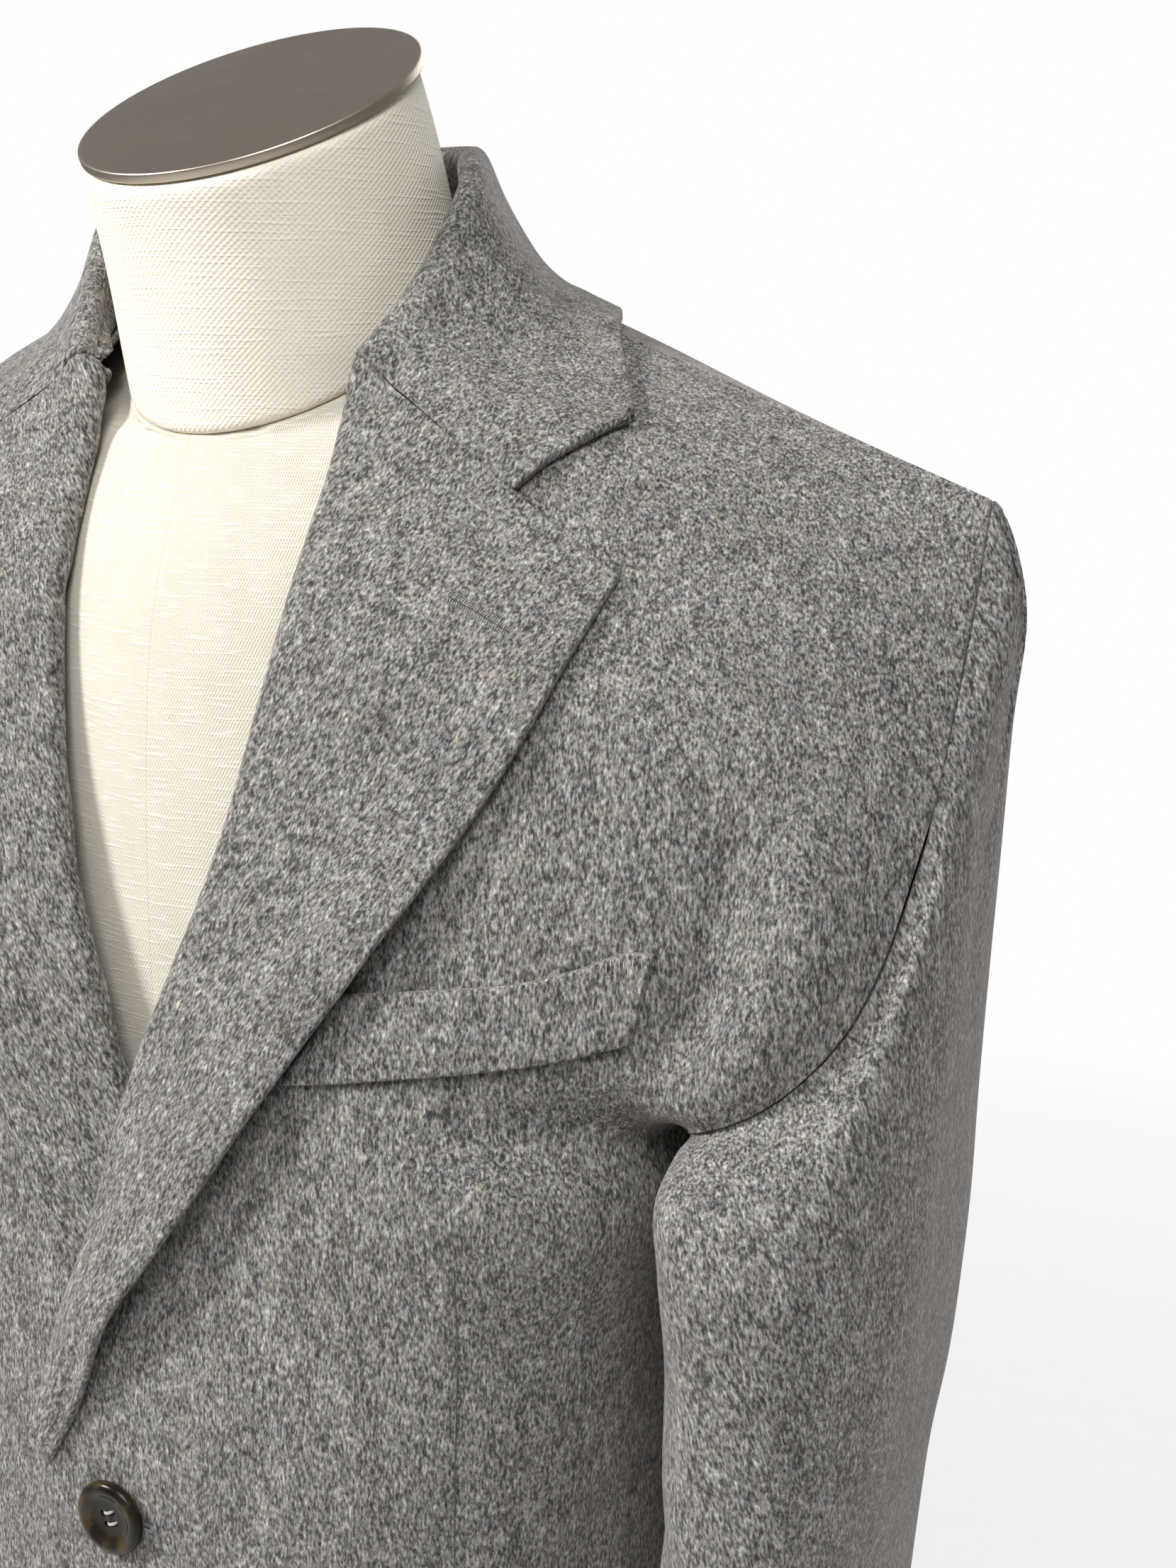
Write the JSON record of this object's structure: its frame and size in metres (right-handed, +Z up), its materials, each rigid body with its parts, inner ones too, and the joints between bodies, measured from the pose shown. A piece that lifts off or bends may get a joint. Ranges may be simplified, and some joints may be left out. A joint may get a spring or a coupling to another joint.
{
  "type": "single-breasted overcoat on a dress form",
  "caption": "Thigh-length wool overcoat with notched lapels, a chest welt and a buttoned front, on a limbless linen dress form with a steel neck cap, pole and round foot.",
  "frame": {"origin": "floor centre of the bounding box: on the floor, under the pole's axis", "axes": "+Z up; the coat's front faces -Y; the wearer's left is +X"},
  "size_m": [0.5346, 0.34, 1.5886],
  "materials": {
    "wool": "brushed mid-grey melange",
    "linen": "plain cream weave",
    "steel": "warm grey, brushed",
    "horn": "dark horn, polished"
  },
  "bodies": {
    "root": {"back": "wool", "front_left": "wool", "front_right": "wool", "sleeve_left": "wool", "sleeve_right": "wool", "lapel_left": "wool", "lapel_right": "wool", "collar": "wool", "chest_welt": "wool", "button_top": "horn", "button_middle": "horn", "button_lower": "horn", "form_torso": "linen", "form_neck": "linen", "neck_cap": "steel", "stand_foot": "steel", "stand_pole": "steel"}
  },
  "joints": []
}
